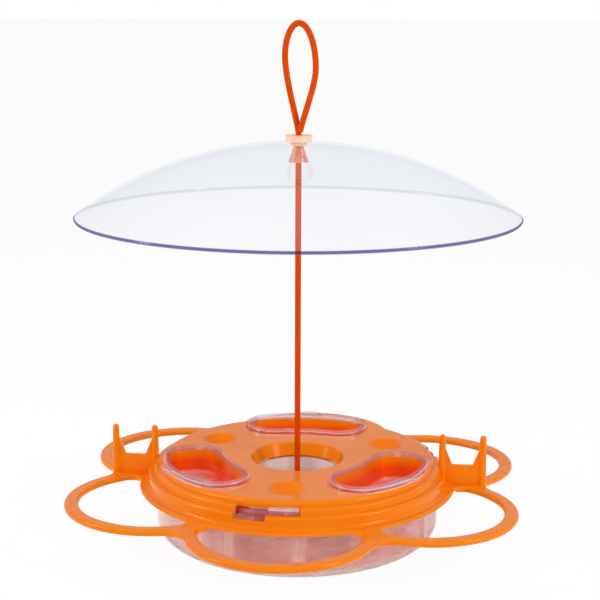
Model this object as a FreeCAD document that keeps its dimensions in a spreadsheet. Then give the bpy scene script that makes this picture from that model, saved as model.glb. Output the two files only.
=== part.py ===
import FreeCAD, Part
import math
import os
from collections import namedtuple

import Sketcher
from FreeCAD import Placement, Rotation, Vector

# Oriole feeder, millimetres. Z runs up the hanging rod, and z = 0 is the face the bowl stands on.
# The two forks lie on the X axis, and the front bayonet window faces -Y.

SIZES = {
    # Nectar bowl
    "bowl_radius": 99.0,            # outside of the wall
    "mouth_outside": 98.0,          # outside of the wall above its shoulder, under the cover
    "shoulder_height": 36.0,
    "floor_joint": 84.0,            # where the floor plate is bonded into the wall's foot
    "bowl_wall": 1.8,               # wall and floor
    "rim_gap": 0.4,                 # between the rim and the cover's upper tread
    "bowl_corner": 12.5,            # rounding between wall and base, outside
    "foot_radius": 76.0,            # recess inside the foot ring
    "foot_recess": 0.8,
    "moat_radius": 28.5,            # inside of the ant moat
    "moat_wall": 2.0,
    "moat_height": 44.3,
    "moat_root": 1.8,
    "boss_radius": 7.5,
    "boss_height": 14.5,
    "insert_radius": 4.2,
    "insert_length": 9.0,
    "insert_flange": 5.2,
    "insert_flange_thickness": 1.0,
    "lug_reach": 3.8,               # how far a lug stands out of the wall
    "lug_angle": 11.4,
    "lug_thickness": 3.8,
    "lug_round": 0.8,
    # Cover shell
    "cover_wall": 1.9,
    "cover_top": 54.5,
    "top_radius": 95.4,             # where the flat top ends
    "top_round": 2.6,
    "tread_one_radius": 100.6,
    "tread_one_drop": 3.7,
    "tread_two_radius": 104.9,
    "tread_two_drop": 8.0,
    "riser_draft": 0.7,             # how much a riser leans out
    "tread_fall": 0.25,             # how much a tread falls outward
    "tread_round": 1.4,
    "mouth_radius": 32.6,           # funnel opening at the top
    "funnel_radius": 29.6,          # funnel opening at its foot
    "funnel_depth": 9.0,
    "mouth_round": 1.6,
    # Perch loops
    "perch_top": 38.2,
    "perch_thickness": 4.4,
    "perch_round": 2.1,
    "flange_radius": 111.0,
    "flange_thickness": 2.0,
    "flange_cut": 1.2,              # how far past the flange its underside is cut
    "foot_fillet": 2.8,             # between the lowest riser and the flange
    "lobe_offset": 105.0,           # a loop's outer arc: distance of its centre
    "lobe_radius": 62.4,
    "notch_radius": 16.0,           # between two neighbouring loops
    "hole_offset": 104.0,           # a loop's opening: distance of its centre
    "hole_radius": 53.6,
    "hole_corner": 7.0,
    # Forks for orange halves
    "prong_outer_at": 130.2,
    "prong_inner_at": 102.0,
    "prong_top": 73.7,
    "prong_base_radius": 2.8,
    "prong_tip_radius": 2.2,
    "web_top": 52.0,
    "web_thickness": 2.4,
    "gusset_width": 4.2,            # at the web, beyond the prong
    "gusset_top": 69.0,
    # Feeding ports
    "port_at": 69.7,
    "port_radius": 12.2,
    "port_depth": 6.4,
    "port_round": 2.4,
    "port_hole_radius": 2.25,
    # Jelly cups and their wells
    "cup_outer_arc": 79.3,
    "cup_outer_centre": 16.5,
    "cup_end_radius": 21.8,
    "cup_end_offset": 24.0,
    "cup_waist_arc": 84.2,
    "cup_rim_top": 58.4,
    "cup_wall": 1.3,
    "cup_lip": 2.3,                 # from the rim's edge to the cup's outer wall
    "cup_depth": 19.4,              # inside
    "cup_draft": 1.3,               # how much the wall leans in over its height
    "cup_corner": 4.0,
    "cup_rim_round": 0.55,
    "tab_radius": 11.0,             # finger tab: arc that stands past the rim
    "tab_at": 89.4,
    "tab_thickness": 1.6,
    "well_clearance": 0.3,
    "well_wall": 1.5,
    "well_floor_gap": 0.5,
    "well_corner": 3.0,
    # Bayonet windows, angles from the fork axis
    "lug_middle_angle": 270.7,
    "twist_angle": 12.5,
    "lug_side_gap": 0.45,           # degrees each side of a lug
    "lug_gap": 0.3,                 # height gap under and over a lug
    "window_drop": 3.4,             # entry half, below the tread that carries the lug
    # Rod and hanging loop
    "rod_diameter": 4.2,
    "neck_height": 281.0,           # where the straight rod ends and the loop begins
    "loop_left": 9.35,
    "loop_left_rise": 52.6,         # rises are above the neck
    "loop_crown": 21.6,             # top of the loop above its widest point on the left
    "loop_right": 11.4,
    "loop_right_rise": 44.0,
    "tail_right": 1.3,              # cut end beside the rod
    "tail_gap": 0.05,
    "tail_rise": 2.4,
    # Weather dome and its fittings
    "dome_radius": 152.4,
    "dome_rim_height": 226.7,
    "dome_rise": 49.7,
    "dome_wall": 2.0,
    "dome_hole_gap": 0.25,
    "dome_edge_round": 0.7,
    "collar_flange_radius": 8.8,
    "collar_flange_thickness": 4.4,
    "collar_hub_radius": 5.7,
    "collar_nose_radius": 3.4,
    "collar_nose_length": 1.0,
    "collar_gap": 0.10,             # running fit on the rod
    "stop_top_radius": 3.4,
    "stop_bottom_radius": 6.9,
    "stop_height": 10.4,
    "stop_hollow_radius": 5.6,
    "stop_hollow_depth": 5.0,
    "stop_gap": 0.06,               # sliding grip on the rod
    "stop_clearance": 0.3,          # between the stop and the collar
}

LOBES = 6
CUPS = 3
PORTS = 3
LUGS = 3
FORKS = 2
FIRST_LOBE_ANGLE = 30.0
FIRST_CUP_ANGLE = 90.0
OVERCUT = 1.0                       # how far a cut runs past the face it opens
QUARTER = 0.5523                    # handle length that makes a quarter of an ellipse
NECK_PULL = 0.13                    # handle lengths of the loop's two legs
LEFT_PULL = 0.3
RIGHT_PULL = 0.24
TAIL_PULL = 0.33


class Size:
    """A length that knows its value and its formula in the sheet."""

    def __init__(self, value, formula):
        self.value = float(value)
        self.formula = formula

    def join(self, other, sign, swap=False):
        """This size and another, or a plain number, joined by one sign."""
        if not isinstance(other, Size):
            other = Size(other, repr(float(other)))
        left, right = (other, self) if swap else (self, other)
        value = {
            "+": lambda a, b: a + b,
            "-": lambda a, b: a - b,
            "*": lambda a, b: a * b,
            "/": lambda a, b: a / b,
        }[sign](left.value, right.value)
        return Size(value, "(%s %s %s)" % (left.formula, sign, right.formula))

    def __add__(self, other):
        return self.join(other, "+")

    def __radd__(self, other):
        return self.join(other, "+", swap=True)

    def __sub__(self, other):
        return self.join(other, "-")

    def __rsub__(self, other):
        return self.join(other, "-", swap=True)

    def __mul__(self, other):
        return self.join(other, "*")

    def __rmul__(self, other):
        return self.join(other, "*", swap=True)

    def __truediv__(self, other):
        return self.join(other, "/")

    def __neg__(self):
        return self.join(0.0, "-", swap=True)


doc = FreeCAD.newDocument("OrioleFeeder")
sheet = doc.addObject("Spreadsheet::Sheet", "Sizes")
for row, (alias, number) in enumerate(SIZES.items(), start=1):
    sheet.set("A%d" % row, alias)
    sheet.set("B%d" % row, repr(number))
    sheet.setAlias("B%d" % row, alias)
doc.recompute()


def size(alias):
    """One driving dimension, read back from the sheet."""
    return Size(getattr(sheet, alias), "Sizes." + alias)


def value_of(number):
    """The plain value of a size or a number."""
    return number.value if isinstance(number, Size) else float(number)


def bind(target, path, amount):
    """Ties a property of an object to the sheet."""
    target.setExpression(path, amount.formula)


# Bodies, sketches and features

def new_body(name):
    """A sub-part: its label is the name of its file."""
    body = doc.addObject("PartDesign::Body", name)
    body.Label = name
    return body


def new_sketch(body, name, plane, height=None):
    """A sketch on one of the body's own origin planes, lifted off it by height."""
    sketch = body.newObject("Sketcher::SketchObject", name)
    role = next(item for item in body.Origin.OriginFeatures if item.Role == plane)
    sketch.AttachmentSupport = (role, [""])
    sketch.MapMode = "FlatFace"
    if height is not None:
        sketch.AttachmentOffset = Placement(Vector(0, 0, height.value), Rotation())
        bind(sketch, "AttachmentOffset.Base.z", height)
    return sketch


def hold(sketch, geometry, point, x, y):
    """Dimensions one point of a sketch from the origin."""
    for kind, axis, amount in (("DistanceX", -2, x), ("DistanceY", -1, y)):
        if isinstance(amount, Size):
            name = "p%d_%d_%s" % (geometry, point, kind[-1])
            rule = Sketcher.Constraint(kind, -1, 1, geometry, point, amount.value)
            sketch.renameConstraint(sketch.addConstraint(rule), name)
            bind(sketch, "Constraints." + name, amount)
        else:
            sketch.addConstraint(Sketcher.Constraint("PointOnObject", geometry, point, axis))


def hold_radius(sketch, geometry, radius):
    """Dimensions the radius of an arc or circle."""
    name = "r%d" % geometry
    rule = Sketcher.Constraint("Radius", geometry, radius.value)
    sketch.renameConstraint(sketch.addConstraint(rule), name)
    bind(sketch, "Constraints." + name, radius)


def polygon(sketch, corners):
    """A closed outline of straight lines, each corner dimensioned. A plain 0 lies on the axis."""
    points = [Vector(value_of(x), value_of(y), 0) for x, y in corners]
    first = sketch.GeometryCount
    for index, start in enumerate(points):
        sketch.addGeometry(Part.LineSegment(start, points[(index + 1) % len(points)]))
    for index in range(len(points)):
        following = first + (index + 1) % len(points)
        sketch.addConstraint(Sketcher.Constraint("Coincident", first + index, 2, following, 1))
    for index, (x, y) in enumerate(corners):
        hold(sketch, first + index, 1, x, y)


def circle(sketch, x, y, radius):
    """A dimensioned circle."""
    centre = Vector(value_of(x), value_of(y), 0)
    index = sketch.addGeometry(Part.Circle(centre, Vector(0, 0, 1), radius.value))
    hold(sketch, index, 3, x, y)
    hold_radius(sketch, index, radius)


# One arc of a smooth outline. turn is 1 where the outline bulges outward and -1 where it
# bends inward; held is False for an arc whose place follows from its neighbours.
Bend = namedtuple("Bend", "x y radius turn held")


def touch_point(one, other):
    """Where two bends that touch smoothly meet."""
    a = Vector(value_of(one.x), value_of(one.y), 0)
    b = Vector(value_of(other.x), value_of(other.y), 0)
    if one.turn == other.turn and one.radius.value < other.radius.value:
        return b + (a - b).normalize() * other.radius.value
    return a + (b - a).normalize() * one.radius.value


def smooth_outline(sketch, bends):
    """A closed outline of arcs that run tangentially into each other."""
    first = sketch.GeometryCount
    count = len(bends)
    for index, bend in enumerate(bends):
        centre = Vector(value_of(bend.x), value_of(bend.y), 0)
        ends = [touch_point(bends[index - 1], bend), touch_point(bend, bends[(index + 1) % count])]
        angles = [math.atan2(point.y - centre.y, point.x - centre.x) for point in ends]
        if bend.turn < 0:
            angles.reverse()
        base = Part.Circle(centre, Vector(0, 0, 1), bend.radius.value)
        sketch.addGeometry(Part.ArcOfCircle(base, angles[0], angles[1]))
    for index, bend in enumerate(bends):
        following = (index + 1) % count
        end_point = 2 if bend.turn > 0 else 1
        start_point = 1 if bends[following].turn > 0 else 2
        rule = ("Tangent", first + index, end_point, first + following, start_point)
        sketch.addConstraint(Sketcher.Constraint(*rule))
    for index, bend in enumerate(bends):
        hold_radius(sketch, first + index, bend.radius)
        if bend.held:
            hold(sketch, first + index, 3, bend.x, bend.y)


def pad(body, name, sketch, length, down=False, midplane=False):
    """Material raised from a sketch."""
    feature = body.newObject("PartDesign::Pad", name)
    feature.Profile = sketch
    feature.Length = length.value
    bind(feature, "Length", length)
    feature.Reversed = down
    feature.Midplane = midplane
    return feature


def pocket(body, name, sketch, length, up=False):
    """Material cut away below a sketch, or above it."""
    feature = body.newObject("PartDesign::Pocket", name)
    feature.Profile = sketch
    feature.Length = length.value
    bind(feature, "Length", length)
    feature.Reversed = up
    return feature


def revolve(body, name, sketch, cut=False, angle=None, axis="V_Axis"):
    """Material turned about the sketch's vertical axis, or cut away the same way."""
    kind = "PartDesign::Groove" if cut else "PartDesign::Revolution"
    feature = body.newObject(kind, name)
    feature.Profile = sketch
    feature.ReferenceAxis = (sketch, [axis])
    feature.Angle = 360.0
    if angle is not None:
        feature.Angle = angle.value
        bind(feature, "Angle", angle)
        feature.Midplane = True
    return feature


def loft(body, name, sections, cut=False):
    """Material drawn straight from one section to the next, or cut away the same way."""
    kind = "PartDesign::SubtractiveLoft" if cut else "PartDesign::AdditiveLoft"
    feature = body.newObject(kind, name)
    feature.Profile = sections[0]
    feature.Sections = sections[1:]
    feature.Ruled = True
    return feature


def around(body, name, features, count):
    """Repeats features evenly round the rod's axis."""
    pattern = body.newObject("PartDesign::PolarPattern", name)
    pattern.Originals = features
    axis = next(item for item in body.Origin.OriginFeatures if item.Role == "Z_Axis")
    pattern.Axis = (axis, [""])
    pattern.Angle = 360.0
    pattern.Occurrences = count
    body.Tip = pattern
    return pattern


def edges_where(feature, test):
    """The names of a feature's edges that pass a test."""
    edges = feature.Shape.Edges
    return ["Edge%d" % (index + 1) for index, edge in enumerate(edges) if test(edge)]


def fillet(body, name, base, edges, radius):
    """Rounds edges of the body's last feature."""
    feature = body.newObject("PartDesign::Fillet", name)
    feature.Base = (base, edges)
    feature.Radius = radius.value
    bind(feature, "Radius", radius)
    return feature


def on_level(edge, height):
    """Whether an edge lies flat at a height."""
    box = edge.BoundBox
    return abs(box.ZMin - height) < 1e-4 and abs(box.ZMax - height) < 1e-4


def circle_of(edge):
    """The circle that an edge lies on, or None."""
    if edge.Degenerated or not isinstance(edge.Curve, Part.Circle):
        return None
    return edge.Curve


def is_ring(edge, radius, height):
    """Whether an edge is a circle about the rod's axis, of a radius and at a height."""
    curve = circle_of(edge)
    if curve is None:
        return False
    centred = math.hypot(curve.Center.x, curve.Center.y) < 1e-4
    return centred and abs(curve.Radius - radius) < 1e-3 and abs(curve.Center.z - height) < 1e-3


def rings(feature, places):
    """The names of the circular edges at the given (radius, height) places."""
    wanted = [(value_of(radius), value_of(height)) for radius, height in places]
    return edges_where(feature, lambda edge: any(is_ring(edge, *place) for place in wanted))


def polar(distance, angle):
    """A point at a distance from the axis, at an angle in degrees."""
    turn = math.radians(angle)
    return distance * math.cos(turn), distance * math.sin(turn)


# Nectar bowl

def make_bowl():
    """The clear dish's wall, its rounded foot and its bayonet lugs."""
    body = new_body("nectar_bowl")
    wall = size("bowl_wall")
    outer = size("bowl_radius")
    mouth = size("mouth_outside")
    shoulder = size("shoulder_height")
    slope = outer - mouth
    joint = size("floor_joint")
    floor = size("foot_recess") + wall
    top = size("cover_top") - size("tread_one_drop") - size("cover_wall") - size("rim_gap")

    sketch = new_sketch(body, "BowlSection", "XZ_Plane")
    polygon(sketch, [
        (joint, 0),
        (outer, 0),
        (outer, shoulder),
        (mouth, shoulder + slope),
        (mouth, top),
        (mouth - wall, top),
        (mouth - wall, shoulder + slope),
        (outer - wall, shoulder),
        (outer - wall, floor),
        (joint, floor),
    ])
    turned = revolve(body, "BowlTurned", sketch)
    doc.recompute()

    corner = size("bowl_corner")
    rounded = fillet(body, "BowlCornerOutside", turned, rings(turned, [(outer, 0)]), corner)
    doc.recompute()
    inside = rings(rounded, [(outer - wall, floor)])
    fillet(body, "BowlCornerInside", rounded, inside, corner - wall)
    doc.recompute()

    lug_foot = size("cover_top") - size("tread_two_drop") + size("lug_gap")
    lug_top = lug_foot + size("lug_thickness")
    lug_end = mouth + size("lug_reach")
    lug_root = mouth - wall
    lug_sketch = new_sketch(body, "LugSection", "XZ_Plane")
    polygon(lug_sketch, [(lug_root, lug_foot), (lug_end, lug_foot), (lug_end, lug_top), (lug_root, lug_top)])
    turn_sketch(lug_sketch, size("lug_middle_angle"))
    lug = revolve(body, "Lug", lug_sketch, angle=size("lug_angle"))
    lugs = around(body, "Lugs", [lug], LUGS)
    doc.recompute()

    def is_lug_end(edge):
        ends = [math.hypot(vertex.X, vertex.Y) for vertex in edge.Vertexes]
        return min(ends) > lug_end.value - 1e-3

    fillet(body, "LugEnds", lugs, edges_where(lugs, is_lug_end), size("lug_round"))
    return body


def turn_sketch(sketch, angle):
    """Swings a sketch that stands upright about the rod's axis."""
    sketch.AttachmentOffset = Placement(Vector(0, 0, 0), Rotation(Vector(0, 1, 0), angle.value))
    bind(sketch, "AttachmentOffset.Rotation.Angle", angle)


def make_floor():
    """The clear dish's flat floor: a recessed plate inside a foot ring, with a round hole for the moat."""
    body = new_body("bowl_floor")
    hole = size("moat_radius") + size("moat_wall")
    foot = size("foot_radius")
    recess = size("foot_recess")
    joint = size("floor_joint")
    floor = recess + size("bowl_wall")
    sketch = new_sketch(body, "FloorSection", "XZ_Plane")
    polygon(sketch, [
        (hole, recess),
        (foot, recess),
        (foot + recess, 0),
        (joint, 0),
        (joint, floor),
        (hole, floor),
    ])
    revolve(body, "FloorTurned", sketch)
    doc.recompute()
    return body


def make_moat():
    """Clear cup bonded into the bowl's floor: water inside it keeps ants off, its boss holds the rod."""
    body = new_body("ant_moat")
    inner = size("moat_radius")
    outer = inner + size("moat_wall")
    recess = size("foot_recess")
    floor = recess + size("bowl_wall")
    top = size("moat_height")
    boss = size("boss_radius")
    boss_top = size("boss_height")
    bore = size("insert_radius")
    bore_foot = boss_top - size("insert_length")
    sketch = new_sketch(body, "MoatSection", "XZ_Plane")
    polygon(sketch, [
        (0, recess),
        (outer, recess),
        (outer, top),
        (inner, top),
        (inner, floor),
        (boss, floor),
        (boss, boss_top),
        (bore, boss_top),
        (bore, bore_foot),
        (0, bore_foot),
    ])
    turned = revolve(body, "MoatTurned", sketch)
    doc.recompute()
    fillet(body, "MoatRoots", turned, rings(turned, [(inner, floor), (boss, floor)]), size("moat_root"))
    return body


def make_insert():
    """Brass insert in the boss: the rod screws into it."""
    body = new_body("threaded_insert")
    outer = size("insert_radius")
    bore = size("rod_diameter") / 2
    top = size("boss_height")
    flange = size("insert_flange")
    flange_top = top + size("insert_flange_thickness")
    sketch = new_sketch(body, "InsertSection", "XZ_Plane")
    polygon(sketch, [
        (bore, top - size("insert_length")),
        (outer, top - size("insert_length")),
        (outer, top),
        (flange, top),
        (flange, flange_top),
        (bore, flange_top),
    ])
    revolve(body, "InsertTurned", sketch)
    return body


# Feeding cover

def shell_outline():
    """The section of the cover's shell, from the funnel's foot out over the treads and back."""
    wall = size("cover_wall")
    top = size("cover_top")
    lean = size("riser_draft")
    fall = size("tread_fall")
    mouth = size("mouth_radius")
    funnel = size("funnel_radius")
    funnel_foot = top - size("funnel_depth")
    one = top - size("tread_one_drop")
    two = top - size("tread_two_drop")
    skirt_foot = size("perch_top") - size("perch_thickness")
    outside = [
        (funnel, funnel_foot),
        (mouth, top),
        (size("top_radius"), top),
        (size("top_radius") + lean, one + fall),
        (size("tread_one_radius"), one),
        (size("tread_one_radius") + lean, two + fall),
        (size("tread_two_radius"), two),
        (size("tread_two_radius") + lean, skirt_foot),
    ]
    inside = [
        (size("tread_two_radius") + lean - wall, skirt_foot),
        (size("tread_two_radius") - wall, two - wall),
        (size("tread_one_radius") + lean - wall, two + fall - wall),
        (size("tread_one_radius") - wall, one - wall),
        (size("top_radius") + lean - wall, one + fall - wall),
        (size("top_radius") - wall, top - wall),
        (mouth + wall, top - wall),
        (funnel + wall, funnel_foot),
    ]
    return outside, inside


def skirt_radius(height):
    """Outside of the shell's lowest riser at a height."""
    two = size("cover_top") - size("tread_two_drop")
    foot = size("perch_top") - size("perch_thickness")
    return size("tread_two_radius") + size("riser_draft") * (two - height) / (two - foot)


def make_shell(body):
    """Turned shell of the cover, with its soft top edge and its two treads."""
    outside, inside = shell_outline()
    sketch = new_sketch(body, "ShellSection", "XZ_Plane")
    polygon(sketch, outside + inside)
    turned = revolve(body, "ShellTurned", sketch)
    doc.recompute()
    shape = fillet(body, "TopEdge", turned, rings(turned, [outside[2]]), size("top_round"))
    doc.recompute()
    shape = fillet(body, "FunnelLip", shape, rings(shape, [outside[1]]), size("mouth_round"))
    doc.recompute()
    edges = rings(shape, [outside[4], outside[6]])
    shape = fillet(body, "TreadEdges", shape, edges, size("tread_round"))
    doc.recompute()
    return shape


def lobe_bends():
    """The outer outline of the six perch loops, with the hollow bends between them."""
    offset = size("lobe_offset")
    radius = size("lobe_radius")
    notch = size("notch_radius")
    half = math.radians(180.0 / LOBES)
    reach = radius.value + notch.value
    near = offset.value * math.cos(half)
    notch_at = near + math.sqrt(reach ** 2 - (offset.value * math.sin(half)) ** 2)
    bends = []
    for index in range(LOBES):
        angle = FIRST_LOBE_ANGLE + index * 360.0 / LOBES
        turn = math.radians(angle)
        x, y = offset * math.cos(turn), offset * math.sin(turn)
        bends.append(Bend(x, y, radius, 1, True))
        x, y = polar(notch_at, angle + 180.0 / LOBES)
        bends.append(Bend(x, y, notch, -1, False))
    return bends


def meeting(first, first_radius, second, second_radius, side):
    """Where two circles cross, on the given side of the line between their centres."""
    between = second - first
    gap = between.Length
    along = (gap ** 2 + first_radius ** 2 - second_radius ** 2) / (2 * gap)
    across = math.sqrt(first_radius ** 2 - along ** 2)
    direction = between.normalize()
    return first + direction * along + Vector(-direction.y, direction.x, 0) * across * side


def hole_bends(angle):
    """The opening of one perch loop: round outside, concentric with the flange inside."""
    offset = size("hole_offset")
    radius = size("hole_radius")
    corner = size("hole_corner")
    flange = size("flange_radius")
    turn = math.radians(angle)
    x, y = offset * math.cos(turn), offset * math.sin(turn)
    centre = Vector(x.value, y.value, 0)
    axis = Vector(0, 0, 0)
    reach = (radius - corner).value, (flange + corner).value
    left = meeting(centre, reach[0], axis, reach[1], -1)
    right = meeting(centre, reach[0], axis, reach[1], 1)
    return [
        Bend(x, y, radius, 1, True),
        Bend(left.x, left.y, corner, 1, False),
        Bend(0, 0, flange, -1, True),
        Bend(right.x, right.y, corner, 1, False),
    ]


def make_perch(body):
    """The flat ring of perch loops round the shell, with every edge rounded."""
    top = size("perch_top")
    thickness = size("perch_thickness")
    flange = size("flange_radius")
    sketch = new_sketch(body, "PerchPlan", "XY_Plane", top)
    smooth_outline(sketch, lobe_bends())
    for index in range(LOBES):
        smooth_outline(sketch, hole_bends(FIRST_LOBE_ANGLE + index * 360.0 / LOBES))
    circle(sketch, 0, 0, size("tread_two_radius") - size("cover_wall") / 2)
    ring = pad(body, "PerchRing", sketch, thickness, down=True)
    doc.recompute()

    skirt = skirt_radius(top)
    levels = (top.value, (top - thickness).value)

    def is_outline(edge):
        middle = edge.valueAt((edge.FirstParameter + edge.LastParameter) / 2)
        flat = any(on_level(edge, level) for level in levels)
        return flat and math.hypot(middle.x, middle.y) > (skirt + flange).value / 2

    shape = fillet(body, "PerchEdges", ring, edges_where(ring, is_outline), size("perch_round"))
    doc.recompute()

    roots = rings(shape, [(skirt, top)])
    fillet(body, "SkirtRoot", shape, roots, size("foot_fillet"))
    doc.recompute()

    under = new_sketch(body, "FlangeUnderside", "XY_Plane", top - thickness)
    circle(under, 0, 0, flange + size("flange_cut"))
    relief = pocket(body, "FlangeRelief", under, thickness - size("flange_thickness"), up=True)
    doc.recompute()
    return relief


def cup_bends(offset):
    """The kidney outline that cup and well share, moved outward by offset."""
    outer_arc = size("cup_outer_arc")
    outer_centre = size("cup_outer_centre")
    end = size("cup_end_radius")
    end_x = size("cup_end_offset")
    waist = size("cup_waist_arc")
    rise = math.sqrt((outer_arc.value - end.value) ** 2 - end_x.value ** 2)
    end_y = outer_centre.value + rise
    waist_y = end_y - math.sqrt((waist.value + end.value) ** 2 - end_x.value ** 2)
    return [
        Bend(0, outer_centre, outer_arc + offset, 1, True),
        Bend(-end_x, end_y, end + offset, 1, False),
        Bend(0, waist_y, waist - offset, -1, False),
        Bend(end_x, end_y, end + offset, 1, False),
    ], end_x


def kidney(sketch, offset):
    """Draws the kidney outline and dimensions its two ends."""
    bends, end_x = cup_bends(offset)
    first = sketch.GeometryCount
    smooth_outline(sketch, bends)
    for index, side in ((1, -end_x), (3, end_x)):
        name = "end%d" % index
        rule = Sketcher.Constraint("DistanceX", -1, 1, first + index, 3, side.value)
        sketch.renameConstraint(sketch.addConstraint(rule), name)
        bind(sketch, "Constraints." + name, side)


def well_offset():
    """From the cup's rim outline in to the well's wall."""
    return size("well_clearance") - size("cup_lip")


def well_floor():
    """Height of the well's floor, just under the cup."""
    cup_foot = size("cup_rim_top") - size("cup_depth") - size("cup_wall")
    return cup_foot - size("well_floor_gap")


def make_wells(body):
    """Three kidney wells that hang from the cover's top."""
    top = size("cover_top")
    wall = size("well_wall")
    floor = well_floor()
    level = top - size("cover_wall") / 2
    outside = new_sketch(body, "WellOutside", "XY_Plane", level)
    kidney(outside, well_offset() + wall)
    block = pad(body, "WellBlock", outside, level - floor + wall, down=True)
    inside = new_sketch(body, "WellInside", "XY_Plane", top + OVERCUT)
    kidney(inside, well_offset())
    hollow = pocket(body, "WellHollow", inside, top + OVERCUT - floor)
    wells = around(body, "Wells", [block, hollow], CUPS)
    doc.recompute()
    corners = edges_where(wells, lambda edge: on_level(edge, floor.value))
    return fillet(body, "WellFloors", wells, corners, size("well_corner"))


def turn_dish(body, name, ball_radius, lid, turn, cut):
    """A slice of a ball, turned about a port's own axis, for its wall or its hollow."""
    at = size("port_at")
    centre = port_ball() + size("cover_top") - size("port_depth")
    sketch = new_sketch(body, name + "Section", "YZ_Plane")
    sketch.AttachmentOffset = Placement(Vector(0, 0, 0), Rotation(Vector(0, 1, 0), turn))
    half = math.sqrt(ball_radius.value ** 2 - (centre - lid).value ** 2)
    middle = Vector(-at.value, centre.value, 0)
    low = Vector(-at.value, (centre - ball_radius).value, 0)
    high = Vector(-at.value, lid.value, 0)
    rim = Vector(half - at.value, lid.value, 0)
    base = Part.Circle(middle, Vector(0, 0, 1), ball_radius.value)
    end = math.atan2(rim.y - middle.y, rim.x - middle.x)
    arc = sketch.addGeometry(Part.ArcOfCircle(base, -math.pi / 2, end))
    across = sketch.addGeometry(Part.LineSegment(rim, high))
    down = sketch.addGeometry(Part.LineSegment(high, low))
    axis = sketch.addGeometry(Part.LineSegment(low, high), True)
    sketch.addConstraint(Sketcher.Constraint("Coincident", arc, 2, across, 1))
    sketch.addConstraint(Sketcher.Constraint("Coincident", across, 2, down, 1))
    sketch.addConstraint(Sketcher.Constraint("Coincident", down, 2, arc, 1))
    sketch.addConstraint(Sketcher.Constraint("Coincident", axis, 1, down, 2))
    sketch.addConstraint(Sketcher.Constraint("Coincident", axis, 2, down, 1))
    sketch.addConstraint(Sketcher.Constraint("Horizontal", across))
    hold(sketch, arc, 3, -at, centre)
    hold(sketch, down, 1, -at, lid)
    hold_radius(sketch, arc, ball_radius)
    sketch.addConstraint(Sketcher.Constraint("Vertical", down))
    return revolve(body, name, sketch, cut=cut, axis="Axis0")


def port_ball():
    """Radius of the ball that a port's dish is a slice of."""
    radius = size("port_radius")
    depth = size("port_depth")
    return (radius * radius + depth * depth) / (depth * 2)


def make_ports(body):
    """Three dished feeding ports, each with a hole down to the nectar."""
    top = size("cover_top")
    depth = size("port_depth")
    wall = size("cover_wall")
    ball = port_ball()
    for index in range(PORTS):
        turn = index * 360.0 / PORTS
        turn_dish(body, "PortWall%d" % (index + 1), ball + wall, top - wall / 2, turn, False)
        doc.recompute()
    dish = turn_dish(body, "PortDish", ball, top, 0.0, True)
    plan = new_sketch(body, "PortHolePlan", "XY_Plane", top)
    circle(plan, 0, -size("port_at"), size("port_hole_radius"))
    drill = pocket(body, "PortHole", plan, depth + wall + OVERCUT)
    ports = around(body, "Ports", [dish, drill], PORTS)
    doc.recompute()
    radius = size("port_radius").value

    def is_lip(edge):
        curve = circle_of(edge)
        return curve and on_level(edge, top.value) and abs(curve.Radius - radius) < 1e-3

    return fillet(body, "PortLips", ports, edges_where(ports, is_lip), size("port_round"))


def make_windows(body):
    """L-shaped bayonet windows: a lug comes up in the low half and locks in the high half."""
    wall = size("cover_wall")
    gap = size("lug_gap")
    side = size("lug_side_gap")
    shelf = size("cover_top") - size("tread_two_drop")
    ceiling = size("cover_top") - size("tread_one_drop") + size("tread_fall")
    near = size("mouth_outside") - size("bowl_wall") - gap
    far = size("tread_two_radius") + size("riser_draft") + OVERCUT
    lug = size("lug_angle")
    twist = size("twist_angle")
    middle = size("lug_middle_angle")
    cuts = []
    for name, low, high, centre, width in (
        ("WindowLong", shelf, ceiling, middle - twist / 2, lug + twist + side * 2),
        ("WindowEntry", shelf - size("window_drop"), shelf + wall, middle - twist, lug + side * 2),
    ):
        sketch = new_sketch(body, name + "Section", "XZ_Plane")
        polygon(sketch, [(near, low), (far, low), (far, high), (near, high)])
        turn_sketch(sketch, centre)
        cuts.append(revolve(body, name, sketch, cut=True, angle=width))
    return around(body, "Windows", cuts, LUGS)


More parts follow.
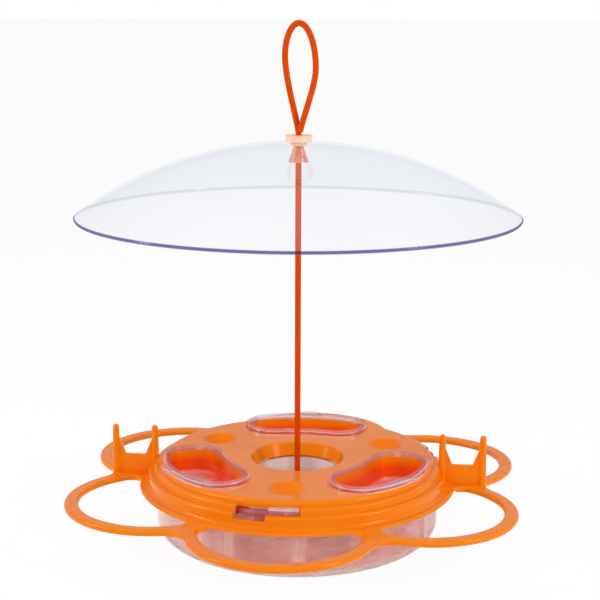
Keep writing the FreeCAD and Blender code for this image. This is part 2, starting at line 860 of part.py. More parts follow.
def make_forks(body):
    """Two forks, each of two tapered pins on a web, for halved oranges."""
    outer_at = size("prong_outer_at")
    inner_at = size("prong_inner_at")
    web_top = size("web_top")
    gusset = size("gusset_width")
    gusset_top = size("gusset_top")
    base_radius = size("prong_base_radius")
    tip_radius = size("prong_tip_radius")
    foot = size("perch_top") - size("flange_thickness")
    top = size("prong_top")
    inner_foot = size("cover_top") - size("tread_two_drop") - size("cover_wall") / 2
    skirt = size("tread_two_radius") + size("riser_draft") / 2 - size("cover_wall") / 2

    plate = new_sketch(body, "ForkWebSection", "XZ_Plane")
    polygon(plate, [
        (skirt, foot),
        (outer_at, foot),
        (outer_at, gusset_top),
        (outer_at - base_radius - gusset, web_top),
        (inner_at + base_radius + gusset, web_top),
        (inner_at, gusset_top),
        (inner_at, inner_foot),
        (skirt, inner_foot),
    ])
    web = pad(body, "ForkWeb", plate, size("web_thickness"), midplane=True)

    def prong(name, at, low):
        """A tapered pin with a round tip, turned about its own axis."""
        sketch = new_sketch(body, name + "Section", "XZ_Plane")
        shoulder = top - tip_radius
        heart = Vector(at.value, low.value, 0)
        side = Vector((at + base_radius).value, low.value, 0)
        neck = Vector((at + tip_radius).value, shoulder.value, 0)
        tip = Vector(at.value, top.value, 0)
        ball = Part.Circle(Vector(at.value, shoulder.value, 0), Vector(0, 0, 1), tip_radius.value)
        foot_line = sketch.addGeometry(Part.LineSegment(heart, side))
        flank = sketch.addGeometry(Part.LineSegment(side, neck))
        cap = sketch.addGeometry(Part.ArcOfCircle(ball, 0, math.pi / 2))
        middle = sketch.addGeometry(Part.LineSegment(tip, heart))
        axis = sketch.addGeometry(Part.LineSegment(heart, tip), True)
        for one, end, other, start in (
            (foot_line, 2, flank, 1),
            (flank, 2, cap, 1),
            (cap, 2, middle, 1),
            (middle, 2, foot_line, 1),
            (axis, 1, foot_line, 1),
            (axis, 2, cap, 2),
        ):
            sketch.addConstraint(Sketcher.Constraint("Coincident", one, end, other, start))
        hold(sketch, foot_line, 1, at, low)
        hold(sketch, flank, 1, at + base_radius, low)
        hold(sketch, flank, 2, at + tip_radius, shoulder)
        hold(sketch, cap, 2, at, top)
        return revolve(body, name, sketch, axis="Axis0")

    outer = prong("ProngOuter", outer_at, foot)
    inner = prong("ProngInner", inner_at, inner_foot)
    return around(body, "Forks", [web, outer, inner], FORKS)


def make_cover():
    """Orange cover, one moulding."""
    body = new_body("feeding_cover")
    make_shell(body)
    make_perch(body)
    make_forks(body)
    doc.recompute()
    make_wells(body)
    doc.recompute()
    make_ports(body)
    doc.recompute()
    make_windows(body)
    return body


# Jelly cups

def make_cup(number):
    """Clear kidney cup with a rolled rim and a finger tab."""
    body = new_body("jelly_cup_%d" % number)
    rim_top = size("cup_rim_top")
    wall = size("cup_wall")
    lip = size("cup_lip")
    draft = size("cup_draft")
    depth = size("cup_depth")
    seat = size("cover_top")
    inside_floor = rim_top - depth
    foot = inside_floor - wall

    plan = new_sketch(body, "RimPlan", "XY_Plane", rim_top)
    kidney(plan, wall * 0)
    rim = pad(body, "Rim", plan, rim_top - seat, down=True)
    doc.recompute()
    rounding = edges_where(rim, lambda edge: on_level(edge, rim_top.value))
    fillet(body, "RimRound", rim, rounding, size("cup_rim_round"))
    doc.recompute()
    under = new_sketch(body, "RollPlan", "XY_Plane", seat)
    kidney(under, -wall)
    pocket(body, "RimRoll", under, rim_top - seat - wall, up=True)
    doc.recompute()

    top_outside = new_sketch(body, "WallTop", "XY_Plane", rim_top - wall / 2)
    kidney(top_outside, -lip)
    foot_outside = new_sketch(body, "WallFoot", "XY_Plane", foot)
    kidney(foot_outside, -lip - draft)
    outside = loft(body, "WallOutside", [top_outside, foot_outside])
    doc.recompute()
    rounding = edges_where(outside, lambda edge: on_level(edge, foot.value))
    outside = fillet(body, "FootCorner", outside, rounding, size("cup_corner"))
    doc.recompute()

    mouth = new_sketch(body, "HollowTop", "XY_Plane", rim_top)
    kidney(mouth, -lip - wall)
    bottom = new_sketch(body, "HollowFloor", "XY_Plane", inside_floor)
    kidney(bottom, -lip - draft - wall)
    hollow = loft(body, "Hollow", [mouth, bottom], cut=True)
    doc.recompute()
    rounding = edges_where(hollow, lambda edge: on_level(edge, inside_floor.value))
    hollow = fillet(body, "FloorCorner", hollow, rounding, size("cup_corner") - wall)
    doc.recompute()

    tab_plan = new_sketch(body, "TabPlan", "XY_Plane", rim_top)
    circle(tab_plan, 0, size("tab_at"), size("tab_radius"))
    pad(body, "Tab", tab_plan, size("tab_thickness"), down=True)
    tab_clear = new_sketch(body, "TabTrim", "XY_Plane", rim_top)
    kidney(tab_clear, -lip - wall)
    pocket(body, "TabTrimmed", tab_clear, size("tab_thickness") + OVERCUT)
    doc.recompute()

    turn = FIRST_CUP_ANGLE - 90.0 + (number - 1) * 360.0 / CUPS
    body.Placement = Placement(Vector(0, 0, 0), Rotation(Vector(0, 0, 1), turn))
    return body


# Rod with its hanging loop

def smooth_curve(start, first, second, end):
    """A cubic from start to end, each end running towards its own handle."""
    curve = Part.BezierCurve()
    curve.setPoles([start, first, second, end])
    return curve.toShape()


def between(start, end, share):
    """The point that lies the share of the way from start to end."""
    return start + (end - start) * share


def loop_path(foot):
    """Straight rod, then the teardrop: up the left side, over the top, down to the cut end."""
    neck_z = sheet.neck_height
    left_z = neck_z + sheet.loop_left_rise
    right_z = neck_z + sheet.loop_right_rise
    top_z = left_z + sheet.loop_crown
    neck = Vector(0, 0, neck_z)
    over_neck = Vector(0, 0, left_z)
    left = Vector(-sheet.loop_left, 0, left_z)
    under_left = Vector(-sheet.loop_left, 0, neck_z)
    left_corner = Vector(-sheet.loop_left, 0, top_z)
    top = Vector(0, 0, top_z)
    right_corner = Vector(sheet.loop_right, 0, top_z)
    right = Vector(sheet.loop_right, 0, right_z)
    tail_z = neck_z + sheet.tail_rise
    tail = Vector(sheet.tail_right, -sheet.rod_diameter - sheet.tail_gap, tail_z)
    under_right = Vector(sheet.loop_right, 0, tail_z)
    return Part.Wire([
        Part.LineSegment(foot, neck).toShape(),
        smooth_curve(neck, between(neck, over_neck, NECK_PULL), between(left, under_left, LEFT_PULL), left),
        smooth_curve(left, between(left, left_corner, QUARTER), between(top, left_corner, QUARTER), top),
        smooth_curve(top, between(top, right_corner, QUARTER), between(right, right_corner, QUARTER), right),
        smooth_curve(right, between(right, under_right, RIGHT_PULL), between(tail, right, TAIL_PULL), tail),
    ])


def make_rod():
    """Coated wire from the bowl's insert up to the teardrop loop, whose cut end meets the rod."""
    foot = Vector(0, 0, sheet.boss_height - sheet.insert_length)
    path = doc.addObject("Part::Feature", "RodPath")
    path.Shape = loop_path(foot)
    section = doc.addObject("Part::Circle", "RodSection")
    section.Radius = sheet.rod_diameter / 2
    bind(section, "Radius", size("rod_diameter") / 2)
    section.Placement = Placement(foot, Rotation())
    bind(section, "Placement.Base.z", size("boss_height") - size("insert_length"))
    rod = doc.addObject("Part::Sweep", "hanger_rod")
    rod.Label = "hanger_rod"
    rod.Sections = [section]
    rod.Spine = (path, ["Edge%d" % (index + 1) for index in range(len(path.Shape.Edges))])
    rod.Solid = True
    rod.Frenet = False
    return rod


# Weather dome, its collar and the stop that carries it

def make_dome():
    """Clear shallow dome, a slice of a sphere, with a hole for the collar."""
    body = new_body("weather_dome")
    radius = size("dome_radius")
    rise = size("dome_rise")
    wall = size("dome_wall")
    rim = size("dome_rim_height")
    hole = size("collar_hub_radius") + size("dome_hole_gap")
    ball = (radius * radius + rise * rise) / (rise * 2)
    centre = rim + rise - ball
    sketch = new_sketch(body, "DomeSection", "XZ_Plane")
    middle = Vector(0, centre.value, 0)
    arcs = []
    low = math.asin(((rim - centre) / ball).value)
    for ball_radius in (ball, ball - wall):
        base = Part.Circle(middle, Vector(0, 0, 1), ball_radius.value)
        high = math.acos((hole / ball_radius).value)
        arcs.append(sketch.addGeometry(Part.ArcOfCircle(base, low, high)))
    outer, inner = arcs
    ends = [sketch.getPoint(outer, 2), sketch.getPoint(inner, 2)]
    feet = [sketch.getPoint(inner, 1), sketch.getPoint(outer, 1)]
    bore = sketch.addGeometry(Part.LineSegment(*ends))
    edge = sketch.addGeometry(Part.LineSegment(*feet))
    sketch.addConstraint(Sketcher.Constraint("Coincident", outer, 2, bore, 1))
    sketch.addConstraint(Sketcher.Constraint("Coincident", bore, 2, inner, 2))
    sketch.addConstraint(Sketcher.Constraint("Coincident", inner, 1, edge, 1))
    sketch.addConstraint(Sketcher.Constraint("Coincident", edge, 2, outer, 1))
    sketch.addConstraint(Sketcher.Constraint("Vertical", bore))
    sketch.addConstraint(Sketcher.Constraint("PointOnObject", outer, 3, edge))
    hold(sketch, outer, 3, 0, centre)
    sketch.addConstraint(Sketcher.Constraint("Coincident", outer, 3, inner, 3))
    hold_radius(sketch, outer, ball)
    hold_radius(sketch, inner, ball - wall)
    for name, kind, geometry, point, amount in (
        ("rim", "DistanceY", outer, 1, rim),
        ("hole", "DistanceX", outer, 2, hole),
    ):
        rule = Sketcher.Constraint(kind, -1, 1, geometry, point, amount.value)
        sketch.renameConstraint(sketch.addConstraint(rule), name)
        bind(sketch, "Constraints." + name, amount)
    turned = revolve(body, "DomeTurned", sketch)
    doc.recompute()
    edges = rings(turned, [(radius, rim)])
    fillet(body, "DomeEdge", turned, edges, size("dome_edge_round"))
    return body


def make_collar():
    """Flanged bushing: its flange lies on the dome, its hub goes through and tapers to the rod."""
    body = new_body("dome_collar")
    seat = size("dome_rim_height") + size("dome_rise")
    bore = size("rod_diameter") / 2 + size("collar_gap")
    flange = size("collar_flange_radius")
    hub = size("collar_hub_radius")
    nose = size("collar_nose_radius")
    under = seat - size("dome_wall")
    sketch = new_sketch(body, "CollarSection", "XZ_Plane")
    polygon(sketch, [
        (bore, under - size("collar_nose_length")),
        (nose, under - size("collar_nose_length")),
        (hub, under),
        (hub, seat),
        (flange, seat),
        (flange, seat + size("collar_flange_thickness")),
        (bore, seat + size("collar_flange_thickness")),
    ])
    revolve(body, "CollarTurned", sketch)
    return body


def make_stop():
    """Cone that grips the rod below the dome, hollow below."""
    body = new_body("cone_stop")
    nose = size("dome_rim_height") + size("dome_rise") - size("dome_wall")
    top = nose - size("collar_nose_length") - size("stop_clearance")
    foot = top - size("stop_height")
    bore = size("rod_diameter") / 2 + size("stop_gap")
    sketch = new_sketch(body, "StopSection", "XZ_Plane")
    polygon(sketch, [
        (bore, top),
        (size("stop_top_radius"), top),
        (size("stop_bottom_radius"), foot),
        (size("stop_hollow_radius"), foot),
        (bore, foot + size("stop_hollow_depth")),
    ])
    revolve(body, "StopTurned", sketch)
    return body


parts = [make_bowl(), make_floor(), make_moat(), make_insert(), make_cover()]
parts += [make_cup(number) for number in range(1, CUPS + 1)]
parts += [make_rod(), make_dome(), make_collar(), make_stop()]
doc.recompute()

for item in doc.Objects:
    if "Invalid" in item.State or "Error" in item.State:
        raise RuntimeError("%s did not build: %s" % (item.Label, item.State))

os.makedirs("parts", exist_ok=True)
for part in parts:
    shape = part.Shape
    if shape.isNull() or not shape.isValid() or len(shape.Solids) != 1:
        raise RuntimeError("%s is not one valid solid" % part.Label)
    shape.exportStep("parts/%s.step" % part.Label)
    print("%s: %.1f mm3" % (part.Label, shape.Volume))
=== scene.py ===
import math

import bpy
from mathutils import Matrix, Vector


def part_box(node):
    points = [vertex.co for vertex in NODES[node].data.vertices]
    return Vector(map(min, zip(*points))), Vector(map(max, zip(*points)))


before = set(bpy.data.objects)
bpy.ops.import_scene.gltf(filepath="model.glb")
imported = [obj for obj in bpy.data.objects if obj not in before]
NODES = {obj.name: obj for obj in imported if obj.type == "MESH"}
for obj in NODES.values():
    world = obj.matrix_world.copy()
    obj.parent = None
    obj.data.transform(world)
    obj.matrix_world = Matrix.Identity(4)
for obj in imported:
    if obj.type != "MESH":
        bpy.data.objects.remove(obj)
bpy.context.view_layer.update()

MM = 0.001


def mm(*numbers):
    """Millimetres in metres."""
    return tuple(number * MM for number in numbers)


def rgb(red, green, blue):
    """Linear colour from the 0-255 values that a screen shows."""
    def linear(value):
        value /= 255.0
        return value / 12.92 if value <= 0.04045 else ((value + 0.055) / 1.055) ** 2.4
    return linear(red), linear(green), linear(blue)


# Camera: where the photograph was taken from, found from the feeder's circles. The forks lie on the
# X axis, and the photograph sees them turned by CAMERA_TURN.
CAMERA_TURN = math.radians(5.6)
CAMERA_SIDE = 1.41 * MM
CAMERA_DISTANCE = 974.7 * MM
CAMERA_HEIGHT = 369.6 * MM
CAMERA_PITCH = math.radians(11.74)
CAMERA_ROLL = math.radians(0.24)
CAMERA_NEAR = 0.05
CAMERA_FAR = 30.0
FOCAL_PIXELS = 1439.1
IMAGE_PIXELS = 600.0
SENSOR = 36.0

# Light
WORLD_LIGHT = 0.45
MIRROR_LEVELS = (0.55, 0.95)        # how bright the surroundings look in reflections, low and high
MIRROR_HEIGHTS = (0.0, 0.9)         # upward part of the directions where they look so
MIRROR_BASE = 0.01                  # brightness that is added to both
FLOOR_SIZE = 120.0
FLOOR_COLOUR = (0.93, 0.93, 0.93)
FLOOR_SHINE = 1.02
FLOOR_GLOW = 0.9                    # share of the shine where the floor is looked at
LAMP_TARGET = (0.0, 0.0, 0.08)
LAMPS = (                           # name, place, width, height, power, seen in reflections
    ("overhead", (0.0, 0.1, 1.6), 1.4, 1.0, 2.9, False),
    ("left_box", (-1.35, -0.35, 0.75), 0.28, 0.8, 8.8, True),
    ("right_box", (1.25, -0.6, 0.75), 0.28, 0.8, 8.8, True),
    ("front_fill", (0.0, -2.2, 0.9), 1.2, 0.8, 8.5, False),
)

# Patterns: scale and detail of the noise
SLOW_DRIFT = (14.0, 3.0)
CLOUDS = (40.0, 1.0)
MOULD_WAVES = (45.0, 1.0)
FLOW = (38.0, 3.0)
CLEAR_DRIFT = (11.0, 2.0)
SHEET_DRIFT = (9.0, 2.0)
MILK_CLOUDS = (120.0, 2.0)
FLOOR_GLINTS = (70.0, 2.0)
STREAKS = (80.0, 3.0)
STREAK_STRETCH = 0.12               # the bowl's streaks run upwards
BRASS_DRIFT = (60.0, 3.0)
BRASS_GRAIN = (1500.0, 2.0)

PLASTIC_IOR = 1.5
WARM_GLOSS = (1.0, 0.62, 0.25, 1.0)  # tint of the light that orange plastic mirrors
SHEET_SHARE = 0.75                  # how much of clear plastic looks like a thin sheet

# Zones of the cover where the wells' painted glow lies: levels, and distances from the rod
WELL_LEVELS = mm(47.0, 52.3)
WELL_INNER = mm(44.0, 46.0)
WELL_OUTER = mm(93.5, 94.5)
PORT_WAVE = (0.45, 0.7)             # of a wave with its three crests at the ports
# Painted light: colour of the painted glow in the wells
WELL_PAINTED_LIGHT_COLOUR = rgb(236, 70, 3)
WELL_PAINTED_GLOW = 0.12                    # painted glow for the light that the orange plastic lets through into its wells

# Zones of a cup, where its lines of light and shade are painted
CUP_LINE = 0.8 * MM                 # width of the painted lines of light along its edges
CUP_LINE_TURN = (0.85, 0.985)       # how far the rounded normal turns there
CUP_CIRCLE = 71.5 * MM              # circle that runs along the middle of the cups
CUP_SIDES = (-0.00003, 0.00003)     # from a rim's inner side to its outer side
CUP_RIM = mm(54.0, 55.0)
CUP_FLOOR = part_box("jelly_cup_1")[0][2] + 1.0 * MM  # 1 mm above a cup's lowest point
CUP_FLOOR_END = CUP_FLOOR + 2.0 * MM
CUP_HIGH = (0.99, 0.98, 0.99)       # palest tint of its clear plastic

# Zones of the dish where light and shade are painted: levels, places along X, and distances from the rod
BOWL_FOOT = mm(2.0, 13.0)
BOWL_LEFT = mm(-88.0, -38.0)
BOWL_RIM = mm(43.0, 45.0)
BOWL_LIP = mm(49.6, 50.4)
MOAT_WALL = mm(29.0, 33.0)

DOME_EDGE = mm(151.0, 151.7)


def link(thing):
    """Adds an object to the scene."""
    bpy.context.scene.collection.objects.link(thing)
    return thing


def make_camera():
    """The camera where the photograph was taken from."""
    data = bpy.data.cameras.new("camera")
    data.sensor_width = SENSOR
    data.lens = SENSOR * FOCAL_PIXELS / IMAGE_PIXELS
    data.clip_start = CAMERA_NEAR
    data.clip_end = CAMERA_FAR
    camera = link(bpy.data.objects.new("camera", data))
    turn = Matrix.Rotation(CAMERA_TURN, 4, "Z")
    place = Matrix.Translation((CAMERA_SIDE, -CAMERA_DISTANCE, CAMERA_HEIGHT))
    look = Matrix.Rotation(math.pi / 2 - CAMERA_PITCH, 4, "X")
    roll = Matrix.Rotation(CAMERA_ROLL, 4, "Z")
    camera.matrix_world = turn @ place @ look @ roll
    bpy.context.scene.camera = camera


# Node helpers

class Nodes:
    """A short way to write a material's nodes."""

    def __init__(self, tree):
        self.tree = tree
        tree.nodes.clear()

    def add(self, kind, inputs=None, **settings):
        node = self.tree.nodes.new(kind)
        for name, value in settings.items():
            setattr(node, name, value)
        for name, value in (inputs or {}).items():
            self.feed(node.inputs[name], value)
        return node

    def feed(self, socket, value):
        if isinstance(value, bpy.types.NodeSocket):
            self.tree.links.new(value, socket)
        else:
            socket.default_value = value

    def noise(self, scale, detail, vector=None):
        """Noise in the piece's own space, so that it stays on the piece when it moves."""
        where = vector or self.add("ShaderNodeTexCoord").outputs["Object"]
        node = self.add("ShaderNodeTexNoise", {"Vector": where, "Scale": scale, "Detail": detail})
        return node.outputs["Fac"]

    def between(self, factor, low, high, start=0.0, end=1.0):
        """A number that goes from low to high as the factor goes from start to end."""
        node = self.add("ShaderNodeMapRange", {
            "Value": factor, "From Min": start, "From Max": end, "To Min": low, "To Max": high})
        return node.outputs["Result"]

    def tint(self, factor, low, high):
        """A colour between two colours."""
        node = self.add("ShaderNodeMix", data_type="RGBA")
        self.feed(node.inputs[0], factor)
        for socket, colour in ((node.inputs[6], low), (node.inputs[7], high)):
            self.feed(socket, colour if isinstance(colour, bpy.types.NodeSocket) else (*colour, 1.0))
        return node.outputs[2]

    def maths(self, operation, first, second=0.0):
        node = self.add("ShaderNodeMath", operation=operation)
        self.feed(node.inputs[0], first)
        self.feed(node.inputs[1], second)
        return node.outputs[0]

    def plus(self, first, second):
        return self.maths("ADD", first, second)

    def minus(self, first, second):
        return self.maths("SUBTRACT", first, second)

    def times(self, first, second):
        return self.maths("MULTIPLY", first, second)

    def larger(self, first, second):
        return self.maths("MAXIMUM", first, second)

    def bump(self, height, strength, distance):
        node = self.add("ShaderNodeBump", {"Height": height, "Strength": strength, "Distance": distance})
        return node.outputs["Normal"]

    def place(self):
        """X, Y and Z in the piece's own space, in metres."""
        where = self.add("ShaderNodeTexCoord").outputs["Object"]
        split = self.add("ShaderNodeSeparateXYZ", {"Vector": where})
        return split.outputs["X"], split.outputs["Y"], split.outputs["Z"]

    def radius(self, x, y):
        """Distance from the rod's axis."""
        return self.maths("SQRT", self.plus(self.times(x, x), self.times(y, y)))

    def vectors(self, operation, first, second=(0.0, 0.0, 0.0)):
        """A number worked out from two vectors."""
        node = self.add("ShaderNodeVectorMath", operation=operation)
        self.feed(node.inputs[0], first)
        self.feed(node.inputs[1], second)
        return node.outputs["Value"]

    def blend(self, factor, first, second):
        """A shader between two shaders."""
        node = self.add("ShaderNodeMixShader")
        self.feed(node.inputs[0], factor)
        self.feed(node.inputs[1], first)
        self.feed(node.inputs[2], second)
        return node.outputs["Shader"]

    def principled(self, inputs):
        """A principled shader."""
        return self.add("ShaderNodeBsdfPrincipled", inputs).outputs["BSDF"]

    def see_through(self, colour):
        """A tinted shader that doesn't bend the light."""
        return self.add("ShaderNodeBsdfTransparent", {"Color": colour}).outputs["BSDF"]

    def mirror(self, colour, roughness):
        """A shader that only mirrors."""
        return self.add("ShaderNodeBsdfGlossy", {"Color": colour, "Roughness": roughness}).outputs["BSDF"]

    def solid_plastic(self, colour, roughness, specular, glow):
        """Shader of an opaque moulding: patches of gloss, the faint waves of a polished mould, and a
        painted glow as strong as glow.
        """
        patches = self.noise(*CLOUDS)
        waves = self.noise(*MOULD_WAVES)
        return self.principled({
            "Base Color": colour,
            "Roughness": self.between(patches, *roughness, 0.3, 0.7),
            "IOR": PLASTIC_IOR,
            "Specular IOR Level": specular,
            "Specular Tint": WARM_GLOSS,
            # Emission: a painted glow of the moulding's own colour
            "Emission Color": colour,
            "Emission Strength": glow,
            "Normal": self.bump(waves, 0.02, 0.0008),
        })

    def clear_plastic(self, low, high, edge, roughness):
        """Shader of a clear moulding: partly bends the light, and is partly like a thin sheet."""
        drift = self.noise(*CLEAR_DRIFT)
        flow = self.noise(*FLOW)
        slant = self.add("ShaderNodeLayerWeight", {"Blend": 0.4}).outputs["Facing"]
        glass = self.principled({
            "Base Color": self.tint(self.between(drift, 0.0, 1.0, 0.3, 0.7), low, high),
            "Roughness": self.between(flow, roughness * 0.6, roughness * 1.4, 0.3, 0.7),
            "IOR": PLASTIC_IOR,
            "Transmission Weight": 1.0,
            "Normal": self.bump(flow, 0.06, 0.0006),
        })
        through = self.see_through(self.tint(slant, high, edge))
        shine = self.mirror((1.0, 0.97, 0.99, 1.0), 0.05)
        sheet = self.blend(self.between(slant, 0.01, 0.07), through, shine)
        return self.blend(SHEET_SHARE, glass, sheet)

    def finish(self, surface):
        self.add("ShaderNodeOutputMaterial", {"Surface": surface})

    def finish_clear(self, surface, colour):
        """Ends a clear material, which only tints the light of a lamp."""
        path = self.add("ShaderNodeLightPath")
        self.finish(self.blend(path.outputs["Is Shadow Ray"], surface, self.see_through((*colour, 1.0))))


def new_material(name):
    """An empty node material and its helper."""
    material = bpy.data.materials.new(name)
    material.use_nodes = True
    return material, Nodes(material.node_tree)


# Materials

def orange_moulding(name):
    """Orange plastic with slow drifts of colour. A painted red-orange glow in its wells stands in for light
    shining through it into them.
    """
    material, nodes = new_material(name)
    drift = nodes.between(nodes.noise(*SLOW_DRIFT), 0.0, 1.0, 0.3, 0.7)
    colour = nodes.tint(drift, rgb(240, 120, 3), rgb(243, 131, 14))
    x, y, z = nodes.place()
    radius = nodes.radius(x, y)
    sine = nodes.maths("DIVIDE", y, radius)
    thrice = nodes.minus(3.0, nodes.times(4.0, nodes.times(sine, sine)))
    ports = nodes.between(nodes.times(sine, thrice), 1.0, 0.0, *PORT_WAVE)
    deep = nodes.between(z, 1.0, 0.0, *WELL_LEVELS)
    inside = nodes.between(radius, 1.0, 0.0, *WELL_OUTER)
    outside = nodes.between(radius, 0.0, 1.0, *WELL_INNER)
    painted_well_light = nodes.times(nodes.times(deep, ports), nodes.times(inside, outside))
    # Painted light: inside the wells, away from the ports, the colour turns red-orange and glows
    colour = nodes.tint(painted_well_light, colour, WELL_PAINTED_LIGHT_COLOUR)
    nodes.finish(nodes.solid_plastic(colour, (0.18, 0.22), 0.3, nodes.times(painted_well_light, WELL_PAINTED_GLOW)))
    return material


def opaque_plastic(name, low, high, roughness, specular=0.3, glow=0.0):
    """Plastic with slow drifts of colour, and a painted glow as strong as glow."""
    material, nodes = new_material(name)
    drift = nodes.between(nodes.noise(*SLOW_DRIFT), 0.0, 1.0, 0.3, 0.7)
    colour = nodes.tint(drift, low, high)
    nodes.finish(nodes.solid_plastic(colour, (roughness * 0.9, roughness * 1.1), specular, glow))
    return material


def milky_plastic(name, low, high, edge, milk):
    """Moulded plastic that lets light through but is clouded by its colouring, with a faint painted glow.
    """
    material, nodes = new_material(name)
    clear = nodes.clear_plastic(low, high, edge, 0.25)
    cloud = nodes.noise(*MILK_CLOUDS)
    veil_with_painted_light = nodes.principled({
        "Base Color": (*milk, 1.0),
        "Roughness": nodes.between(cloud, 0.25, 0.4),
        # A faint painted glow of the milky colour
        "Emission Color": (*milk, 1.0),
        "Emission Strength": 0.05,
    })
    nodes.finish_clear(nodes.blend(nodes.between(cloud, 0.4, 0.5, 0.3, 0.7), clear, veil_with_painted_light), high)
    return material


def clear_cup(name):
    """Clear plastic with painted lines along a cup's rim, a painted highlight outside and painted violet
    shade inside, and painted glints on its floor.
    """
    material, nodes = new_material(name)
    clear = nodes.clear_plastic((0.97, 0.95, 0.97), CUP_HIGH, (0.86, 0.78, 0.88), 0.03)

    # Painted light: lines where the rounded normal turns, along the rim's edges
    normal = nodes.add("ShaderNodeNewGeometry").outputs["Normal"]
    bent = nodes.add("ShaderNodeBevel", {"Radius": CUP_LINE}, samples=4).outputs["Normal"]
    along = nodes.maths("ABSOLUTE", nodes.vectors("DOT_PRODUCT", bent, normal))
    line = nodes.between(along, 1.0, 0.0, *CUP_LINE_TURN)

    x, y, z = nodes.place()
    outward = nodes.add("ShaderNodeCombineXYZ", {"X": x, "Y": y}).outputs["Vector"]
    tilt = nodes.vectors("DOT_PRODUCT", bent, outward)
    side = nodes.minus(nodes.vectors("LENGTH", outward), CUP_CIRCLE)
    outside = nodes.between(nodes.times(tilt, side), 0.0, 1.0, *CUP_SIDES)
    rim = nodes.between(z, 0.0, 1.0, *CUP_RIM)
    floor = nodes.between(z, 1.0, 0.0, CUP_FLOOR, CUP_FLOOR_END)
    # Painted glints on the floor; painted violet shade inside the rim and a painted highlight outside, with
    # a painted glow
    glint = nodes.between(nodes.noise(*FLOOR_GLINTS), 0.0, 0.2, 0.4, 0.65)
    colour = nodes.tint(nodes.larger(outside, floor), rgb(104, 56, 112), rgb(252, 236, 242))
    painted_light_lines = nodes.principled({
        "Base Color": colour,
        "Roughness": 0.12,
        "Emission Color": colour,
        "Emission Strength": 0.15,
    })
    share = nodes.times(line, nodes.between(rim, 0.2, 0.85))
    share = nodes.larger(share, nodes.times(glint, floor))
    nodes.finish_clear(nodes.blend(share, clear, painted_light_lines), CUP_HIGH)
    return material


def clear_bowl(name):
    """Clear plastic with painted light: pink for the cover's orange light, paler at its foot and left side,
    magenta shade below the rim, pale at the lip and moat, with pale streaks.
    """
    material, nodes = new_material(name)
    x, y, z = nodes.place()
    radius = nodes.radius(x, y)
    drift = nodes.noise(*CLEAR_DRIFT)
    around = nodes.add("ShaderNodeCombineXYZ", {"X": x, "Y": y, "Z": nodes.times(z, STREAK_STRETCH)})
    streak = nodes.between(nodes.noise(*STREAKS, around.outputs["Vector"]), 0.0, 1.0, 0.42, 0.66)
    painted_foot_light = nodes.between(z, 1.0, 0.0, *BOWL_FOOT)
    painted_left_light = nodes.between(x, 0.75, 0.0, *BOWL_LEFT)
    rim = nodes.between(z, 0.0, 1.0, *BOWL_RIM)
    painted_lip_line = nodes.between(z, 0.0, 1.0, *BOWL_LIP)
    moat = nodes.between(radius, 1.0, 0.0, *MOAT_WALL)

    # Painted light: the pink stands in for the cover's orange light in the clear plastic
    colour = nodes.tint(streak, rgb(200, 84, 68), rgb(246, 196, 186))
    # Painted paler light at the foot and on the left side
    colour = nodes.tint(nodes.larger(painted_foot_light, painted_left_light), colour, rgb(252, 218, 212))
    # Painted magenta shade below the rim
    colour = nodes.tint(rim, colour, nodes.tint(streak, rgb(170, 56, 72), rgb(232, 140, 150)))
    # Painted pale highlight line at the lip
    colour = nodes.tint(painted_lip_line, colour, rgb(252, 226, 228))
    # Painted pale light in the moat, where the white floor shows through
    colour = nodes.tint(moat, colour, rgb(250, 240, 236))
    veil_with_painted_light = nodes.principled({
        "Base Color": colour,
        "Roughness": 0.14,
        "Specular IOR Level": 1.0,
    })
    colour = nodes.tint(drift, (0.94, 0.75, 0.70), (0.98, 0.85, 0.81))
    # The glass tint also gets painted paler light on the left side
    colour = nodes.tint(painted_left_light, colour, (0.98, 0.93, 0.91))
    glass = nodes.principled({
        # The glass tint is painted pale in the moat too
        "Base Color": nodes.tint(moat, colour, (0.97, 0.95, 0.95)),
        "Roughness": nodes.between(drift, 0.02, 0.05),
        "IOR": PLASTIC_IOR,
        "Transmission Weight": 1.0,
        "Normal": nodes.bump(streak, 0.08, 0.0008),
    })
    share = nodes.plus(nodes.between(streak, 0.28, 0.5), nodes.times(nodes.larger(rim, moat), 0.2))
    nodes.finish_clear(nodes.blend(share, glass, veil_with_painted_light), (0.96, 0.88, 0.87))
    return material


def clear_sheet(name):
    """Thin clear sheet: almost all light passes, slant views are faintly blue, and its edge has painted
    shade: violet on front faces, grey on back faces.
    """
    material, nodes = new_material(name)
    x, y, z = nodes.place()
    drift = nodes.between(nodes.noise(*SHEET_DRIFT), 0.0, 1.0, 0.35, 0.65)
    slant = nodes.add("ShaderNodeLayerWeight", {"Blend": 0.35}).outputs["Facing"]
    tone = nodes.tint(drift, (0.962, 0.970, 0.984), (0.980, 0.985, 0.996))
    tone = nodes.tint(nodes.maths("POWER", slant, 3.0), tone, (0.960, 0.969, 0.987))
    # Painted shade along the sheet's cut edge: dark violet on front faces, pale grey on back faces
    behind = nodes.add("ShaderNodeNewGeometry").outputs["Backfacing"]
    edge = nodes.between(nodes.radius(x, y), 0.0, 1.0, *DOME_EDGE)
    tone = nodes.tint(edge, tone, nodes.tint(behind, (0.17, 0.12, 0.38), (0.80, 0.81, 0.85)))
    shine = nodes.mirror((0.98, 0.98, 1.0, 1.0), 0.06)
    mixed = nodes.blend(nodes.between(slant, 0.02, 0.10), nodes.see_through(tone), shine)
    nodes.finish_clear(mixed, (0.97, 0.975, 0.985))
    return material


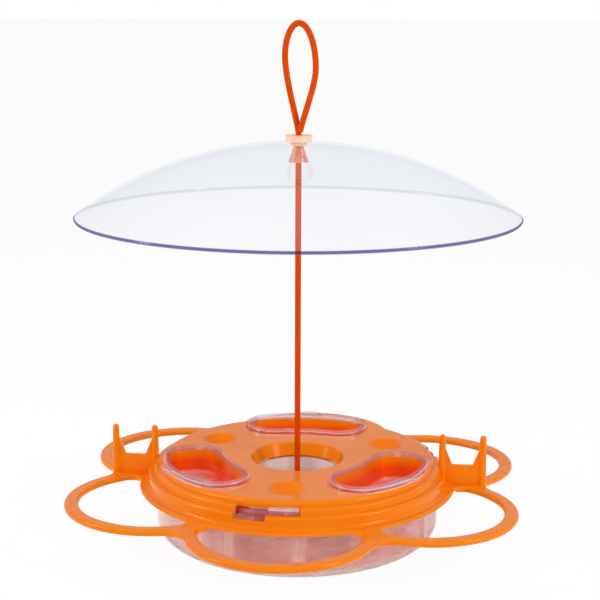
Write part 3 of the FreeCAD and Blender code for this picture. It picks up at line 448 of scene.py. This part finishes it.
def brass(name):
    """Turned brass with a fine grain."""
    material, nodes = new_material(name)
    drift = nodes.noise(*BRASS_DRIFT)
    nodes.finish(nodes.principled({
        "Base Color": nodes.tint(drift, (0.60, 0.42, 0.16), (0.78, 0.58, 0.27)),
        "Metallic": 1.0,
        "Roughness": nodes.between(drift, 0.22, 0.38),
        "Normal": nodes.bump(nodes.noise(*BRASS_GRAIN), 0.1, 0.0002),
    }))
    return material


# Setting

def make_floor():
    """A pale floor: near white where it is looked at, also through clear plastic, with its shadow."""
    mesh = bpy.data.meshes.new("floor")
    half = FLOOR_SIZE / 2
    corners = [(-half, -half, 0), (half, -half, 0), (half, half, 0), (-half, half, 0)]
    mesh.from_pydata(corners, [], [(0, 1, 2, 3)])
    floor = link(bpy.data.objects.new("floor", mesh))
    material, nodes = new_material("floor")
    matt = nodes.add("ShaderNodeBsdfDiffuse", {"Color": (*FLOOR_COLOUR, 1.0)})
    glow = nodes.add("ShaderNodeEmission", {"Color": (1.0, 1.0, 1.0, 1.0), "Strength": FLOOR_SHINE})
    path = nodes.add("ShaderNodeLightPath").outputs
    seen = nodes.larger(path["Is Camera Ray"], path["Is Glossy Ray"])
    seen = nodes.larger(seen, path["Is Transmission Ray"])
    share = nodes.times(seen, FLOOR_GLOW)
    nodes.finish(nodes.blend(share, matt.outputs["BSDF"], glow.outputs["Emission"]))
    mesh.materials.append(material)


def make_world():
    """White to look at, soft as a light, and in reflections brighter above than low down."""
    world = bpy.data.worlds.new("studio")
    bpy.context.scene.world = world
    world.use_nodes = True
    nodes = Nodes(world.node_tree)
    where = nodes.add("ShaderNodeTexCoord").outputs["Generated"]
    upward = nodes.add("ShaderNodeSeparateXYZ", {"Vector": where}).outputs["Z"]
    mirrored = nodes.plus(nodes.between(upward, *MIRROR_LEVELS, *MIRROR_HEIGHTS), MIRROR_BASE)
    path = nodes.add("ShaderNodeLightPath").outputs
    straight = nodes.larger(path["Is Camera Ray"], path["Is Transmission Ray"])
    glossy = nodes.times(path["Is Glossy Ray"], nodes.minus(1.0, straight))
    others = nodes.minus(1.0, nodes.larger(straight, glossy))
    level = nodes.plus(straight, nodes.times(glossy, mirrored))
    level = nodes.plus(level, nodes.times(others, WORLD_LIGHT))
    light = nodes.add("ShaderNodeBackground", {"Color": (1.0, 1.0, 1.0, 1.0), "Strength": level})
    nodes.add("ShaderNodeOutputWorld", {"Surface": light.outputs["Background"]})


def make_lights():
    """A large soft box overhead, a narrow one at each side of the front, and one behind the camera."""
    for name, place, width, height, power, mirrored in LAMPS:
        data = bpy.data.lights.new(name, "AREA")
        data.shape = "RECTANGLE"
        data.size = width
        data.size_y = height
        data.energy = power
        light = link(bpy.data.objects.new(name, data))
        light.location = place
        aim = Vector(LAMP_TARGET) - Vector(place)
        light.rotation_euler = aim.to_track_quat("-Z", "Y").to_euler()
        light.visible_glossy = mirrored


# Pieces

def dress(material, *nodes):
    """Gives carried-over solids their material."""
    for node in nodes:
        NODES[node].data.materials.clear()
        NODES[node].data.materials.append(material)


def dress_all():
    """Every solid of the feeder with its finish."""
    dress(orange_moulding("orange_plastic"), "feeding_cover")
    dress(opaque_plastic("rod_coating", rgb(212, 68, 2), rgb(217, 76, 4), 0.2, specular=0.05), "hanger_rod")
    # The collar gets a faint painted glow
    dress(opaque_plastic("collar_plastic", rgb(244, 194, 164), rgb(248, 205, 178), 0.4, glow=0.08),
          "dome_collar")
    dress(clear_bowl("clear_bowl"), "nectar_bowl", "bowl_floor", "ant_moat")
    dress(clear_cup("clear_cup"), "jelly_cup_1", "jelly_cup_2", "jelly_cup_3")
    dress(clear_sheet("clear_dome"), "weather_dome")
    dress(milky_plastic("stop_plastic", (0.98, 0.84, 0.78), (0.985, 0.90, 0.86), (0.93, 0.64, 0.54),
                        rgb(232, 160, 134)), "cone_stop")
    dress(brass("insert_brass"), "threaded_insert")


make_camera()
make_floor()
make_world()
make_lights()
dress_all()
bpy.context.scene.view_settings.view_transform = "Standard"
